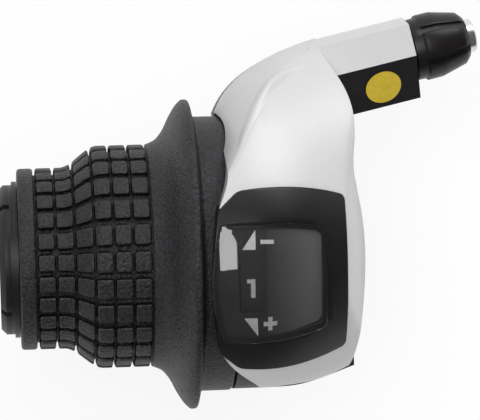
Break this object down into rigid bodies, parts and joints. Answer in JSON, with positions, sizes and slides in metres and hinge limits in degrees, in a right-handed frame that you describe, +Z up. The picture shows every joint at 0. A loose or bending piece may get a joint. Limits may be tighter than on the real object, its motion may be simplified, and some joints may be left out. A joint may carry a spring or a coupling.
{
  "type": "twist grip shifter",
  "caption": "Handlebar twist grip shifter: blocky rubber grip with a flared flange, silver housing with a gear window and a cable arm that ends in a barrel adjuster.",
  "frame": {"origin": "on the handlebar axis, in the plane where the rubber collar meets the indicator drum", "axes": "+X along the handlebar towards its middle, +Y forward, +Z up through the gear window"},
  "size_m": [0.0893, 0.0715, 0.0583],
  "materials": {
    "black_plastic": "fine grain",
    "silver_plastic": "satin silver lacquer",
    "bezel_plastic": "half gloss",
    "lens_plastic": "clear, polished",
    "mask_plastic": "satin",
    "pale_plastic": "smooth",
    "washer_plastic": "smooth",
    "drum_plastic": "fine grain",
    "knob_plastic": "smooth",
    "grip_rubber": "leather grain",
    "steel": "zinc",
    "bright_steel": "bright plated"
  },
  "bodies": {
    "fixed": {"bracket": "black_plastic", "top_cover": "silver_plastic", "window_bezel": "bezel_plastic", "window_lens": "lens_plastic", "display_mask": "mask_plastic", "slide_washer": "washer_plastic", "thrust_washer": "pale_plastic", "detent_spring": "steel", "cable_guide": "pale_plastic", "clamp_bolt": "steel", "clamp_nut": "steel", "cover_screw_1": "steel", "cover_screw_2": "steel", "cover_screw_3": "steel", "adjuster_spring": "steel"},
    "grip": {"grip_core": "black_plastic", "indicator_drum": "drum_plastic", "cable_drum": "pale_plastic", "grip_rubber": "grip_rubber"},
    "click_slider": {"adjuster_click_ring": "pale_plastic"},
    "adjuster": {"adjuster_knob": "knob_plastic", "adjuster_bolt": "bright_steel"}
  },
  "joints": [
    {"name": "grip_turn", "type": "hinge", "parent": "fixed", "child": "grip", "pos_m": [0, 0, 0], "axis": [1, 0, 0], "range_deg": [0, 76], "deforming": ["detent_spring"]},
    {"name": "adjuster_travel", "type": "slide", "parent": "fixed", "child": "click_slider", "axis": [0.975, 0.2161, -0.0523], "range_m": [0, 0.004], "deforming": ["adjuster_spring"]},
    {"name": "adjuster_turn", "type": "hinge", "parent": "click_slider", "child": "adjuster", "pos_m": [0.0345, 0.0361, -0.001], "axis": [0.975, 0.2161, -0.0523], "range_deg": [0, 1800]}
  ],
  "couplings": [
    {"joint": "adjuster_turn", "follows": "adjuster_travel", "rad_per_m": 7853.9}
  ]
}
